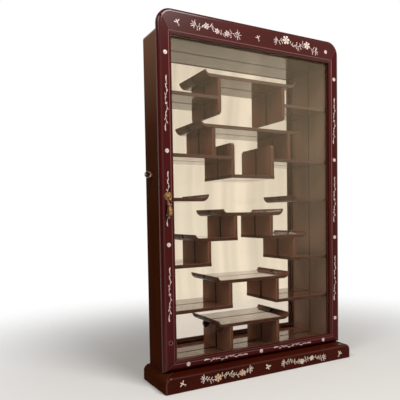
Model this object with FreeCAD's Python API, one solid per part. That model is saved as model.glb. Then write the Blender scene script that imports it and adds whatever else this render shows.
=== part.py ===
import FreeCAD, Part
import math
import os

# Glazed curio cabinet in lacquered hardwood: one framed glass door, a mirrored back, and
# stepped display shelves with upturned ends that stand on short panels.
# Millimetres, +Z up, front towards -Y, origin at the middle of the base's underside.

Vec = FreeCAD.Vector

# Base
base_height = 43.5
base_side_overhang = 12.5       # past the door's edges
base_front_overhang = 33.5      # past the door's face
base_rail_width = 80.0
base_shoulder_radius = 18.0     # top of the two ends
base_edge_radius = 6.0          # front arris
base_foot_chamfer = 1.5

# Door frame
door_width = 619.0
door_thickness = 22.0
stile_width = 39.0
top_rail_height = 68.0
bottom_rail_height = 28.0
door_corner_radius = 40.0       # the two upper corners
door_edge_radius = 10.0         # front outer edge
door_back_radius = 8.0          # back outer edge, apart from its foot
bead_width = 9.0                # moulding round the glass
bead_step = 1.6
bead_radius = 4.5
door_gap_back = 0.5             # door to carcass
door_gap_under = 2.5            # door to base

# Glass
glass_thickness = 4.0
glass_setback = 11.0            # door face to glass
glass_lap = 7.0                 # how far the frame covers the glass
glass_clearance = 0.5
stop_clearance = 0.1
stop_chamfer = 2.5

# Carcass
carcass_inset = 6.5             # inside the door's sides
carcass_drop = 43.0             # top below the door's top
carcass_corner_radius = 9.0
side_thickness = 23.0
top_thickness = 17.0
bottom_thickness = 17.5
ceiling_thickness = 10.0
ceiling_lap = 2.0               # ceiling below the top of the door's opening
mirror_thickness = 3.0
back_thickness = 3.5
back_recess = 0.5
back_rabbet = 6.0
back_clearance = 0.3

# Shelves and panels
shelf_depth = 79.5
shelf_setback = 5.0             # shelf fronts behind the carcass front
mirror_clearance = 2.0          # shelves, panels, ceiling and floor stop short of the mirror
shelf_thickness = 10.0
shelf_edge_chamfer = 1.2
panel_thickness = 10.0
panel_corner_radius = 12.0      # free corners of hanging and tray panels
upturn_radius = 22.5
upturn_angle = math.radians(75.0)
upturn_tip_radius = 2.5

# Rise from each shelf level to the next, floor to ceiling
low_table_height = 86.0
rise_to_bottom_shelves = 54.0
rise_to_low_shelf = 72.5
rise_to_lower_shelves = 52.5
rise_to_mid_shelves = 70.0
rise_to_middle_shelf = 70.5
rise_to_ledges = 41.5
rise_to_tray_floor = 67.5
rise_to_tray_shelves = 51.5
rise_to_second_shelf = 86.0
rise_to_upper_shelves = 79.5
rise_to_top_shelf = 59.5
headroom = 74.0

# Distance of each pair of panels from the middle, and what reaches past them
low_table_leg_x = 83.5
low_table_overhang = 44.5
low_panel_x = 83.5
low_shelf_overhang = 45.5
mid_post_x = 152.0
mid_shelf_overhang = 46.5
middle_panel_x = 63.5
middle_shelf_overhang = 44.0
ledge_length = 129.0
tray_end_x = 70.0
tray_end_rise = 39.0            # above the shelves beside the tray
second_panel_x = 132.5
second_shelf_overhang = 42.5
top_panel_x = 112.0
top_panel_hang = 39.0           # below the shelves that carry it
top_shelf_overhang = 46.5

# Scroll brackets under the low table
bracket_top_width = 17.0
bracket_drop = 22.0
bracket_thickness = 10.0
bracket_neck = 10.0             # height where it meets the leg
bracket_lobe_x = 16.0           # lowest point of the scroll, out from the leg
bracket_lobe_sag = 1.6
bracket_scroll_sag = 5.0

# Butt hinges on the right edge
hinge_height = 50.0
hinge_leaf_width = 27.0
hinge_screw_inset = 18.0        # from the door's edge
hinge_leaf_thickness = 1.4
hinge_recess = 1.25
hinge_from_end = 110.0
hinge_knuckle_radius = 3.2
hinge_knuckle_count = 3
hinge_pin_radius = 1.5
hinge_axis_out = 3.6            # axis beyond the door's edge
hinge_running_clearance = 0.06
hinge_seat_clearance = 0.03     # pin in the cabinet leaf
hinge_end_clearance = 0.15
hinge_side_clearance = 0.4
hinge_screw_spacing = 30.0

# Countersunk wood screws
screw_head_radius = 2.8
screw_head_height = 1.4
screw_shank_radius = 1.4
screw_length = 11.0
screw_clearance = 0.05
screw_sides = 8                 # few faces on what repeats

# Drop pull on the left stile
pull_height = 464.0             # rosette above the door's lower edge
rosette_radius = 11.5
rosette_rim = 1.4
rosette_dome_radius = 8.3
rosette_dome_foot = 2.0         # where the dome springs from the sloping rim
rosette_brow_radius = 5.0
rosette_brow = 4.2
rosette_crown_radius = 1.5
rosette_crown = 5.0
rosette_petals = 8
rosette_valley = 0.9            # depth of the notches between petals, as a part of the radius
post_drop = 9.0                 # post below the rosette's centre
post_radius = 1.6
post_depth = 12.0               # into the stile
post_reach = 9.6                # pivot in front of the stile
post_clearance = 0.05
eye_radius = 3.8
eye_width = 3.4
link_wire_radius = 1.1
link_width = 11.0
link_height = 14.5
link_corner_radius = 3.0
pivot_clearance = 0.07
wire_sides = 8                  # few faces on bent wire
bend_steps = 4                  # facets round a quarter bend
drop_length = 32.0
drop_radius = 8.6
drop_belly_height = 8.6         # widest level above the drop's tip
drop_neck_radius = 3.2
drop_neck_length = 2.2
drop_shoulder_radius = 5.6
drop_shoulder_depth = 4.6       # below the drop's top
drop_flank_radius = 7.8
drop_flank_height = 17.0
drop_hip_radius = 7.4
drop_hip_height = 4.6
drop_ribs = 8
drop_valley = 0.94              # depth between the ribs, as a part of the radius
drop_foot_radius = 3.6
drop_foot_height = 2.0
drop_tip_radius = 1.7

# Catch, side ring and wall hangers
catch_radius = 4.75
catch_length = 14.0
catch_clearance = 0.05
strike_radius = 7.0
strike_thickness = 1.6
strike_clearance = 0.05
eye_ring_radius = 8.7
eye_wire_radius = 1.75
eye_collar_radius = 3.2
eye_collar_height = 2.0
eye_shank_length = 18.0
eye_from_back = 43.5
eye_height = 526.0              # above the door's lower edge
hanger_width = 15.0
hanger_height = 60.0
hanger_thickness = 2.0
hanger_hole_radius = 4.0
hanger_pocket_radius = 6.0
hanger_pocket_depth = 12.0
hanger_from_top = 54.0
hanger_screw_spacing = 44.0

# Depth, from back to front
carcass_depth = (
    shelf_setback + shelf_depth + mirror_clearance + mirror_thickness + back_thickness + back_recess
)
base_depth = base_front_overhang + door_thickness + door_gap_back + carcass_depth
back_y = base_depth / 2
carcass_front_y = back_y - carcass_depth
door_back_y = carcass_front_y - door_gap_back
door_front_y = door_back_y - door_thickness
base_front_y = -base_depth / 2
shelf_front_y = carcass_front_y + shelf_setback
shelf_back_y = shelf_front_y + shelf_depth
mirror_y = shelf_back_y + mirror_clearance
glass_y = door_front_y + glass_setback

# Width, from the middle out
door_half = door_width / 2
opening_half = door_half - stile_width
carcass_half = door_half - carcass_inset
inside_half = carcass_half - side_thickness
base_half = door_half + base_side_overhang
rabbet_half = inside_half + back_rabbet

# Height, from the floor up
door_z = base_height + door_gap_under
floor_z = base_height + bottom_thickness
low_table_z = floor_z + low_table_height
bottom_shelf_z = low_table_z + rise_to_bottom_shelves
low_shelf_z = bottom_shelf_z + rise_to_low_shelf
lower_shelf_z = low_shelf_z + rise_to_lower_shelves
mid_shelf_z = lower_shelf_z + rise_to_mid_shelves
middle_shelf_z = mid_shelf_z + rise_to_middle_shelf
ledge_z = middle_shelf_z + rise_to_ledges
tray_floor_z = ledge_z + rise_to_tray_floor
tray_shelf_z = tray_floor_z + rise_to_tray_shelves
second_shelf_z = tray_shelf_z + rise_to_second_shelf
upper_shelf_z = second_shelf_z + rise_to_upper_shelves
top_shelf_z = upper_shelf_z + rise_to_top_shelf
ceiling_z = top_shelf_z + headroom
opening_top_z = ceiling_z + ceiling_lap
opening_bottom_z = door_z + bottom_rail_height
door_top_z = opening_top_z + top_rail_height
carcass_top_z = door_top_z - carcass_drop
spring_z = carcass_top_z - carcass_corner_radius
rabbet_top_z = carcass_top_z - top_thickness + back_rabbet

# Places of the fittings
hinge_x = door_half + hinge_axis_out
hinge_y = carcass_front_y - door_gap_back / 2
hinge_levels = [
    door_z + hinge_from_end,
    (door_z + door_top_z) / 2,
    door_top_z - hinge_from_end,
]
pull_x = -(door_half + opening_half) / 2
rosette_z = door_z + pull_height
pivot_y = door_front_y - post_reach
pivot_z = rosette_z - post_drop
catch_x = -(carcass_half + inside_half) / 2
hanger_x = (carcass_half + rabbet_half) / 2
hanger_z = carcass_top_z - hanger_from_top
eye_y = back_y - eye_from_back
eye_z = door_z + eye_height

SLACK = 5.0                     # how far a cutter runs past what it cuts
TOUCH = 1e-6                    # two places this close are the same


def box(x0, x1, y0, y1, z0, z1):
    return Part.makeBox(x1 - x0, y1 - y0, z1 - z0, Vec(x0, y0, z0))


def mirrored(shape):
    return shape.mirror(Vec(0, 0, 0), Vec(1, 0, 0))


def line(start, end):
    return Part.LineSegment(start, end).toShape()


def arc(start, middle, end):
    return Part.Arc(start, middle, end).toShape()


def bowed(start, end, sag):
    """An arc in an X-Z plane from start to end that bows to the left of the way by sag."""
    along = end - start
    left = Vec(-along.z, 0, along.x).normalize()
    return arc(start, (start + end) * 0.5 + left * sag, end)


def prism(edges, along):
    return Part.Face(Part.Wire(edges)).extrude(along)


def front_prism(points, y0, y1):
    """A straight-sided outline of (x, z) points, extruded from y0 to y1."""
    corners = [Vec(x, y0, z) for x, z in points]
    outline = Part.makePolygon(corners + [corners[0]])
    return Part.Face(outline).extrude(Vec(0, y1 - y0, 0))


def edges_at(shape, test):
    """The edges whose end points all pass the test."""
    return [edge for edge in shape.Edges if all(test(vertex.Point) for vertex in edge.Vertexes)]


def near(a, b):
    return abs(a - b) < TOUCH


def ring_of_points(centre, radius, sides, first, second, valley=1.0):
    """Corners of a polygon round centre, in the plane of two unit directions.

    A valley below 1 draws in every other corner, which makes ribs or petals.
    """
    points = []
    for step in range(sides):
        turn = 2 * math.pi * (step + 0.5) / sides
        reach = radius * valley if step % 2 else radius
        points.append(centre + first * (reach * math.cos(turn)) + second * (reach * math.sin(turn)))
    return points


def flat_face(points):
    return Part.Face(Part.makePolygon(points + [points[0]]))


def faceted(rings, closed=False):
    """A solid with flat faces between rings that match corner by corner.

    A closed one runs back to its first ring, and any other gets a face at each end.
    """
    following = rings[1:] + rings[:1] if closed else rings[1:]
    faces = [] if closed else [flat_face(rings[0]), flat_face(rings[-1])]
    for ring, other in zip(rings, following):
        for i in range(len(ring)):
            faces.append(flat_face([ring[i - 1], ring[i], other[i], other[i - 1]]))
    solid = Part.Solid(Part.Shell(faces))
    if solid.Volume < 0:
        solid.reverse()
    return solid


def screw(x, y, z, into, clearance=0.0):
    """Countersunk screw with its head flush at y; into is +1 or -1 along Y."""
    head = screw_head_radius + clearance
    shank = screw_shank_radius + clearance
    end = screw_head_height + screw_length + clearance
    return faceted([
        ring_of_points(Vec(x, y + into * depth, z), radius, screw_sides, Vec(1, 0, 0), Vec(0, 0, 1))
        for depth, radius in ((0, head), (screw_head_height, shank), (end, shank))
    ])


def cut_all(shape, cutters):
    for cutter in cutters:
        shape = shape.cut(cutter)
    return shape


# Base: one moulded ring, mitred at the front corners and open at the back

def base_ring():
    ring = box(-base_half, base_half, base_front_y, back_y, 0, base_height)
    shoulders = edges_at(ring, lambda p: near(p.z, base_height) and near(abs(p.x), base_half))
    shoulders = [edge for edge in shoulders if near(edge.Length, base_depth)]
    ring = ring.makeFillet(base_shoulder_radius, shoulders)
    arris = [
        edge for edge in edges_at(ring, lambda p: near(p.y, base_front_y))
        if edge.BoundBox.ZMax > SLACK
    ]
    ring = ring.makeFillet(base_edge_radius, arris)
    foot = edges_at(ring, lambda p: near(p.z, 0) and p.y < back_y - SLACK)
    ring = ring.makeChamfer(base_foot_chamfer, foot)
    inner_half = base_half - base_rail_width
    inner_front = base_front_y + base_rail_width
    return ring.cut(box(-inner_half, inner_half, inner_front, back_y + SLACK, -SLACK, base_height + SLACK))


def base_front_wedge():
    inner_half = base_half - base_rail_width
    inner_front = base_front_y + base_rail_width
    corners = [
        Vec(-base_half, base_front_y, -SLACK),
        Vec(base_half, base_front_y, -SLACK),
        Vec(inner_half, inner_front, -SLACK),
        Vec(-inner_half, inner_front, -SLACK),
    ]
    outline = Part.makePolygon(corners + [corners[0]])
    return Part.Face(outline).extrude(Vec(0, 0, base_height + 2 * SLACK))


def base_parts():
    ring = base_ring()
    wedge = base_front_wedge()
    ends = ring.cut(wedge).Solids
    ends.sort(key=lambda solid: solid.CenterOfMass.x)
    return {
        "base_front": ring.common(wedge),
        "base_left_end": ends[0],
        "base_right_end": ends[1],
    }


# Carcass

def hinge_screw_levels():
    return [
        level + side * hinge_screw_spacing / 2
        for level in hinge_levels
        for side in (-1, 1)
    ]


def back_rabbet_cutter():
    return box(-rabbet_half, rabbet_half, mirror_y, back_y + SLACK, base_height - SLACK, rabbet_top_z)


def plain_side():
    side = box(-carcass_half, -inside_half, carcass_front_y, back_y, base_height, spring_z)
    return side.cut(back_rabbet_cutter())


def hanger_cutters(x):
    plate = box(
        x - hanger_width / 2, x + hanger_width / 2, back_y - hanger_thickness, back_y + SLACK,
        hanger_z - hanger_height / 2, hanger_z + hanger_height / 2,
    )
    pocket = Part.makeCylinder(
        hanger_pocket_radius, hanger_pocket_depth, Vec(x, back_y, hanger_z), Vec(0, -1, 0)
    )
    return [plate, pocket] + hanger_screws(x, screw_clearance)


def hanger_screws(x, clearance=0.0):
    return [
        screw(x, back_y, hanger_z + side * hanger_screw_spacing / 2, -1, clearance)
        for side in (-1, 1)
    ]


def left_side():
    catch_hole = Part.makeCylinder(
        catch_radius + catch_clearance, catch_length, Vec(catch_x, carcass_front_y, rosette_z), Vec(0, 1, 0)
    )
    eye_hole = Part.makeCylinder(
        eye_wire_radius, eye_shank_length, Vec(-carcass_half, eye_y, eye_z), Vec(1, 0, 0)
    )
    return cut_all(plain_side(), [catch_hole, eye_hole] + hanger_cutters(-hanger_x))


def right_side():
    cutters = hanger_cutters(hanger_x)
    for level in hinge_levels:
        cutters.append(box(
            door_half - hinge_leaf_width, carcass_half + SLACK,
            carcass_front_y - SLACK, carcass_front_y + hinge_recess,
            level - hinge_height / 2, level + hinge_height / 2,
        ))
    for level in hinge_screw_levels():
        cutters.append(cabinet_leaf_screw(level, screw_clearance))
    return cut_all(mirrored(plain_side()), cutters)


def top_board():
    """The top and its two rounded corners, down to where the straight sides begin."""
    bend = carcass_corner_radius
    diagonal = bend * math.sin(math.pi / 4)
    inner_top = carcass_top_z - top_thickness

    def at(x, z):
        return Vec(x, carcass_front_y, z)

    edges = [
        line(at(-carcass_half, spring_z), at(-inside_half, spring_z)),
        line(at(-inside_half, spring_z), at(-inside_half, inner_top)),
        line(at(-inside_half, inner_top), at(inside_half, inner_top)),
        line(at(inside_half, inner_top), at(inside_half, spring_z)),
        line(at(inside_half, spring_z), at(carcass_half, spring_z)),
        arc(
            at(carcass_half, spring_z),
            at(carcass_half - bend + diagonal, spring_z + diagonal),
            at(carcass_half - bend, carcass_top_z),
        ),
        line(at(carcass_half - bend, carcass_top_z), at(-carcass_half + bend, carcass_top_z)),
        arc(
            at(-carcass_half + bend, carcass_top_z),
            at(-carcass_half + bend - diagonal, spring_z + diagonal),
            at(-carcass_half, spring_z),
        ),
    ]
    return prism(edges, Vec(0, carcass_depth, 0)).cut(back_rabbet_cutter())


def inner_board(z0, z1):
    """The ceiling or the floor of the inside; like the shelves it stops short of the mirror."""
    return box(-inside_half, inside_half, carcass_front_y, shelf_back_y, z0, z1)


def back_board(y0, thickness, top_z):
    half = rabbet_half - back_clearance
    return box(-half, half, y0, y0 + thickness, base_height, top_z)


def carcass_parts():
    return {
        "left_side": left_side(),
        "right_side": right_side(),
        "top_board": top_board(),
        "ceiling_board": inner_board(ceiling_z, ceiling_z + ceiling_thickness),
        "bottom_board": inner_board(base_height, floor_z),
        "mirror": back_board(mirror_y, mirror_thickness, ceiling_z + ceiling_thickness),
        "back_panel": back_board(mirror_y + mirror_thickness, back_thickness, rabbet_top_z - back_clearance),
    }


# Door: one moulded ring, mitred from each inner corner to the outer one

def door_outline():
    bend = door_corner_radius
    diagonal = bend * math.sin(math.pi / 4)
    bend_z = door_top_z - bend

    def at(x, z):
        return Vec(x, door_front_y, z)

    edges = [
        line(at(-door_half, door_z), at(door_half, door_z)),
        line(at(door_half, door_z), at(door_half, bend_z)),
        arc(
            at(door_half, bend_z),
            at(door_half - bend + diagonal, bend_z + diagonal),
            at(door_half - bend, door_top_z),
        ),
        line(at(door_half - bend, door_top_z), at(-door_half + bend, door_top_z)),
        arc(
            at(-door_half + bend, door_top_z),
            at(-door_half + bend - diagonal, bend_z + diagonal),
            at(-door_half, bend_z),
        ),
        line(at(-door_half, bend_z), at(-door_half, door_z)),
    ]
    return prism(edges, Vec(0, door_thickness, 0))


def opening_box(grow, y0, y1):
    return box(
        -opening_half - grow, opening_half + grow, y0, y1,
        opening_bottom_z - grow, opening_top_z + grow,
    )


def door_ring():
    ring = door_outline()
    ring = ring.makeFillet(door_edge_radius, edges_at(ring, lambda p: near(p.y, door_front_y)))
    back_edges = [
        edge for edge in edges_at(ring, lambda p: near(p.y, door_back_y))
        if edge.BoundBox.ZMax > door_z + SLACK
    ]
    ring = ring.makeFillet(door_back_radius, back_edges)
    ring = ring.cut(opening_box(0, door_front_y - SLACK, door_back_y + SLACK))
    ring = ring.cut(opening_box(bead_width, door_front_y - SLACK, door_front_y + bead_step))
    bead_edges = edges_at(
        ring,
        lambda p: near(p.y, door_front_y + bead_step) and abs(p.x) < opening_half + TOUCH
        and opening_bottom_z - TOUCH < p.z < opening_top_z + TOUCH,
    )
    ring = ring.makeFillet(bead_radius, bead_edges)
    return ring.cut(opening_box(glass_lap, glass_y, door_back_y + SLACK))


def mitre_prisms(inner_x, inner_z0, inner_z1, outer_x, outer_z0, outer_z1, y0, y1):
    """Four prisms that part a frame along the lines from its inner to its outer corners."""
    far = 2 * SLACK
    left = [
        (-inner_x, inner_z0), (-outer_x, outer_z0), (-outer_x - far, outer_z0),
        (-outer_x - far, outer_z1), (-outer_x, outer_z1), (-inner_x, inner_z1),
    ]
    top = [
        (-inner_x, inner_z1), (-outer_x, outer_z1), (-outer_x, outer_z1 + far),
        (outer_x, outer_z1 + far), (outer_x, outer_z1), (inner_x, inner_z1),
    ]
    bottom = [
        (-inner_x, inner_z0), (-outer_x, outer_z0), (-outer_x, outer_z0 - far),
        (outer_x, outer_z0 - far), (outer_x, outer_z0), (inner_x, inner_z0),
    ]
    right = [(-x, z) for x, z in left]
    return [front_prism(points, y0, y1) for points in (left, right, top, bottom)]


def pull_cutters():
    return [
        post_shank(post_clearance),
        strike_disc(strike_radius + strike_clearance),
        strike_screw(screw_clearance),
    ]


def door_hinge_cutters():
    cutters = []
    for level in hinge_levels:
        cutters.append(box(
            door_half - hinge_leaf_width, door_half + SLACK,
            door_back_y - hinge_recess, door_back_y + SLACK,
            level - hinge_height / 2, level + hinge_height / 2,
        ))
    for level in hinge_screw_levels():
        cutters.append(door_leaf_screw(level, screw_clearance))
    return cutters


def glazing_stops():
    """Four mitred strips behind the glass."""
    y0 = glass_y + glass_thickness
    strips = opening_box(glass_lap - stop_clearance, y0, door_back_y)
    strips = strips.cut(opening_box(0, y0 - SLACK, door_back_y + SLACK))
    rim = edges_at(
        strips,
        lambda p: near(p.y, door_back_y) and abs(p.x) < opening_half + TOUCH
        and opening_bottom_z - TOUCH < p.z < opening_top_z + TOUCH,
    )
    strips = strips.makeChamfer(stop_chamfer, rim)
    cutters = mitre_prisms(
        opening_half, opening_bottom_z, opening_top_z,
        opening_half + glass_lap, opening_bottom_z - glass_lap, opening_top_z + glass_lap,
        y0 - SLACK, door_back_y + SLACK,
    )
    return Part.makeCompound([strips.common(cutter).Solids[0] for cutter in cutters])


def door_parts():
    ring = door_ring()
    left, right, top, bottom = mitre_prisms(
        opening_half, opening_bottom_z, opening_top_z,
        door_half, door_z, door_top_z,
        door_front_y - SLACK, door_back_y + SLACK,
    )
    return {
        "door_left_stile": cut_all(ring.common(left), pull_cutters()),
        "door_right_stile": cut_all(ring.common(right), door_hinge_cutters()),
        "door_top_rail": ring.common(top),
        "door_bottom_rail": ring.common(bottom),
        "door_glass": opening_box(glass_lap - glass_clearance, glass_y, glass_y + glass_thickness),
        "glazing_stops": glazing_stops(),
    }


# Hinges: mortised butt hinges whose barrels stand clear of the right edge

def cabinet_leaf_screw(level, clearance=0.0):
    x = door_half - hinge_screw_inset
    face_y = carcass_front_y + hinge_recess - hinge_leaf_thickness
    return screw(x, face_y, level, 1, clearance)


def door_leaf_screw(level, clearance=0.0):
    x = door_half - hinge_screw_inset
    face_y = door_back_y - hinge_recess + hinge_leaf_thickness
    return screw(x, face_y, level, -1, clearance)


def hinge_leaf(level, y0, knuckles, bore_radius, screw_at):
    """One leaf: its plate, its share of the knuckles, and its countersunk holes."""
    bottom = level - hinge_height / 2
    plate_edge = hinge_x - hinge_knuckle_radius - hinge_side_clearance
    y1 = y0 + hinge_leaf_thickness
    leaf = box(door_half - hinge_leaf_width, plate_edge, y0, y1, bottom, bottom + hinge_height)
    pitch = hinge_height / hinge_knuckle_count
    for index in knuckles:
        z0 = bottom + index * pitch + hinge_end_clearance
        z1 = bottom + (index + 1) * pitch - hinge_end_clearance
        leaf = leaf.fuse(box(plate_edge, hinge_x, y0, y1, z0, z1))
        barrel = Part.makeCylinder(hinge_knuckle_radius, z1 - z0, Vec(hinge_x, hinge_y, z0))
        leaf = leaf.fuse(barrel)
    bore = Part.makeCylinder(bore_radius, hinge_height, Vec(hinge_x, hinge_y, bottom))
    leaf = leaf.cut(bore).removeSplitter()
    holes = [screw_at(level + side * hinge_screw_spacing / 2, screw_clearance) for side in (-1, 1)]
    return cut_all(leaf, holes)


def hinge_pin(level):
    bottom = level - hinge_height / 2
    return Part.makeCylinder(hinge_pin_radius, hinge_height, Vec(hinge_x, hinge_y, bottom))


def hinge_parts():
    cabinet_knuckles = range(0, hinge_knuckle_count, 2)
    door_knuckles = range(1, hinge_knuckle_count, 2)
    cabinet_y = carcass_front_y + hinge_recess - hinge_leaf_thickness
    door_y = door_back_y - hinge_recess
    fixed_bore = hinge_pin_radius + hinge_seat_clearance
    running_bore = hinge_pin_radius + hinge_running_clearance
    cabinet_leaves = [
        hinge_leaf(level, cabinet_y, cabinet_knuckles, fixed_bore, cabinet_leaf_screw)
        for level in hinge_levels
    ]
    door_leaves = [
        hinge_leaf(level, door_y, door_knuckles, running_bore, door_leaf_screw)
        for level in hinge_levels
    ]
    cabinet_screws = [cabinet_leaf_screw(level) for level in hinge_screw_levels()]
    for x in (-hanger_x, hanger_x):
        cabinet_screws += hanger_screws(x)
    door_screws = [door_leaf_screw(level) for level in hinge_screw_levels()]
    door_screws.append(strike_screw())
    return {
        "hinge_cabinet_leaves": Part.makeCompound(cabinet_leaves),
        "hinge_door_leaves": Part.makeCompound(door_leaves),
        "hinge_pins": Part.makeCompound([hinge_pin(level) for level in hinge_levels]),
        "cabinet_screws": Part.makeCompound(cabinet_screws),
        "door_screws": Part.makeCompound(door_screws),
    }


# Drop pull

def post_shank(clearance=0.0):
    """From its inner end in the stile to just short of the hole in its eye."""
    start = door_front_y + post_depth + clearance
    end = pivot_y + link_wire_radius + pivot_clearance
    return Part.makeCylinder(post_radius + clearance, start - end, Vec(pull_x, start, pivot_z), Vec(0, -1, 0))


def pull_post():
    left = Vec(pull_x - eye_width / 2, pivot_y, pivot_z)
    eye = Part.makeCylinder(eye_radius, eye_width, left, Vec(1, 0, 0))
    mouth = left - Vec(SLACK, 0, 0)
    hole = Part.makeCylinder(link_wire_radius + pivot_clearance, eye_width + 2 * SLACK, mouth, Vec(1, 0, 0))
    return post_shank().fuse(eye).cut(hole).removeSplitter()


def pull_rosette():
    """A domed round plate with petals, and the post's hole near its lower edge."""
    profile = [
        (0, rosette_radius),
        (rosette_rim, rosette_radius),
        (rosette_dome_foot, rosette_dome_radius),
        (rosette_brow, rosette_brow_radius),
        (rosette_crown, rosette_crown_radius),
    ]
    plate = faceted([
        ring_of_points(
            Vec(pull_x, door_front_y - height, rosette_z), radius, 2 * rosette_petals,
            Vec(1, 0, 0), Vec(0, 0, 1), rosette_valley,
        )
        for height, radius in profile
    ])
    return plate.cut(post_shank(post_clearance))


def quarter_turn(along):
    return Vec(along.z, 0, -along.x)


def wire_bend(start, along, bend_radius, wire_radius):
    """Rings of a wire that turns by a quarter in the X-Z plane, from start."""
    turned = quarter_turn(along)
    centre = start + turned * bend_radius
    rings = []
    for step in range(bend_steps + 1):
        angle = math.pi / 2 * step / bend_steps
        heading = along * math.cos(angle) + turned * math.sin(angle)
        place = centre + (along * math.sin(angle) - turned * math.cos(angle)) * bend_radius
        rings.append(ring_of_points(place, wire_radius, wire_sides, Vec(0, 1, 0), quarter_turn(heading)))
    return rings


def link():
    """A closed wire loop in the X-Z plane whose top run passes through the post's eye."""
    bend = link_corner_radius
    across = link_width - 2 * bend
    down = link_height - 2 * bend
    place = Vec(pull_x - across / 2, pivot_y, pivot_z)
    along = Vec(1, 0, 0)
    rings = []
    for length in (across, down, across, down):
        place = place + along * length
        rings += wire_bend(place, along, bend, link_wire_radius)
        place = place + (along + quarter_turn(along)) * bend
        along = quarter_turn(along)
    return faceted(rings, closed=True)


def drop_pull():
    """The ribbed, bell-shaped drop with its wire link."""
    top_z = pivot_z - link_height + link_wire_radius
    tip_z = top_z - drop_length
    profile = [
        (drop_length, drop_neck_radius),
        (drop_length - drop_neck_length, drop_neck_radius),
        (drop_length - drop_shoulder_depth, drop_shoulder_radius),
        (drop_flank_height, drop_flank_radius),
        (drop_belly_height, drop_radius),
        (drop_hip_height, drop_hip_radius),
        (drop_foot_height, drop_foot_radius),
        (0, drop_tip_radius),
    ]
    bell = faceted([
        ring_of_points(
            Vec(pull_x, pivot_y, tip_z + height), radius, 2 * drop_ribs,
            Vec(1, 0, 0), Vec(0, 1, 0), drop_valley,
        )
        for height, radius in profile
    ])
    return bell.fuse(link())


def pull_parts():
    return {"pull_rosette": pull_rosette(), "pull_post": pull_post(), "drop_pull": drop_pull()}


# Catch, side ring and wall hangers

def strike_disc(radius):
    return Part.makeCylinder(radius, strike_thickness, Vec(catch_x, door_back_y, rosette_z), Vec(0, -1, 0))


def strike_screw(clearance=0.0):
    return screw(catch_x, door_back_y, rosette_z, -1, clearance)


def screw_eye():
    """A turned collar and shank with a wire ring in the X-Z plane."""
    surface = Vec(-carcass_half, eye_y, eye_z)
    shank = Part.makeCylinder(eye_wire_radius, eye_shank_length, surface, Vec(1, 0, 0))
    collar = Part.makeCylinder(eye_collar_radius, eye_collar_height, surface, Vec(-1, 0, 0))
    centre = surface - Vec(eye_collar_height + eye_ring_radius + eye_wire_radius / 2, 0, 0)
    rings = []
    along = Vec(0, 0, 1)
    for quarter in range(4):
        start = centre - quarter_turn(along) * eye_ring_radius
        rings += wire_bend(start, along, eye_ring_radius, eye_wire_radius)[1:]
        along = quarter_turn(along)
    return shank.fuse(collar).fuse(faceted(rings, closed=True))


def hanger_plate(x):
    plate = box(
        x - hanger_width / 2, x + hanger_width / 2, back_y - hanger_thickness, back_y,
        hanger_z - hanger_height / 2, hanger_z + hanger_height / 2,
    )
    hole = Part.makeCylinder(
        hanger_hole_radius, hanger_thickness, Vec(x, back_y, hanger_z), Vec(0, -1, 0)
    )
    return cut_all(plate, [hole] + hanger_screws(x, screw_clearance))


def fitting_parts():
    catch = Part.makeCylinder(
        catch_radius, catch_length, Vec(catch_x, carcass_front_y, rosette_z), Vec(0, 1, 0)
    )
    strike = strike_disc(strike_radius).cut(strike_screw(screw_clearance))
    return {
        "magnetic_catch": catch,
        "catch_strike": strike,
        "screw_eye": screw_eye(),
        "hanger_plates": Part.makeCompound([hanger_plate(-hanger_x), hanger_plate(hanger_x)]),
    }


# Shelves

def upturned_end(x_tip, z_top, sign):
    """Edges of an upturned end, from the shelf's top surface over the tip to its underside."""
    turn = upturn_angle
    tip = upturn_tip_radius
    start = -(upturn_radius - tip) * math.sin(turn) - tip
    outer_x = start + upturn_radius * math.sin(turn)
    outer_z = -shelf_thickness + upturn_radius * (1 - math.cos(turn))
    centre_x = outer_x - tip * math.sin(turn)
    centre_z = outer_z + tip * math.cos(turn)
    inner_x = outer_x - 2 * tip * math.sin(turn)
    inner_z = outer_z + 2 * tip * math.cos(turn)
    inner_radius = inner_z / (1 - math.cos(turn))
    inner_start = inner_x - inner_radius * math.sin(turn)
    half = turn / 2

    def at(x, z):
        return Vec(x_tip + sign * x, shelf_front_y, z_top + z)

    top = at(inner_start, 0)
    inner_mid = at(inner_start + inner_radius * math.sin(half), inner_radius * (1 - math.cos(half)))
    crest = at(centre_x + tip * math.cos(turn), centre_z + tip * math.sin(turn))
    outer_mid = at(
        start + upturn_radius * math.sin(half), -shelf_thickness + upturn_radius * (1 - math.cos(half))
    )
    return [
        arc(top, inner_mid, at(inner_x, inner_z)),
        arc(at(inner_x, inner_z), crest, at(outer_x, outer_z)),
        arc(at(outer_x, outer_z), outer_mid, at(start, -shelf_thickness)),
    ]


def flat_end(x, z_top):
    top = Vec(x, shelf_front_y, z_top)
    return [line(top, top - Vec(0, 0, shelf_thickness))]


def shelf(x_left, x_right, z_top, left_up=False, right_up=False):
    """A board with softened front edges; either end can turn up."""
    left = upturned_end(x_left, z_top, -1) if left_up else flat_end(x_left, z_top)
    right = upturned_end(x_right, z_top, 1) if right_up else flat_end(x_right, z_top)
    top = line(left[0].Vertexes[0].Point, right[0].Vertexes[0].Point)
    under = line(left[-1].Vertexes[-1].Point, right[-1].Vertexes[-1].Point)
    outline = Part.Wire(Part.__sortEdges__([top, under] + left + right))
    board = Part.Face(outline).extrude(Vec(0, shelf_depth, 0))
    front = [
        edge for edge in edges_at(board, lambda p: near(p.y, shelf_front_y))
        if edge.BoundBox.XLength > shelf_edge_chamfer
    ]
    return board.makeChamfer(shelf_edge_chamfer, front)


def pair(name, board):
    """A left-hand board and its mirror image, as two nodes."""
    return {"left_" + name: board, "right_" + name: mirrored(board)}


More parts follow.
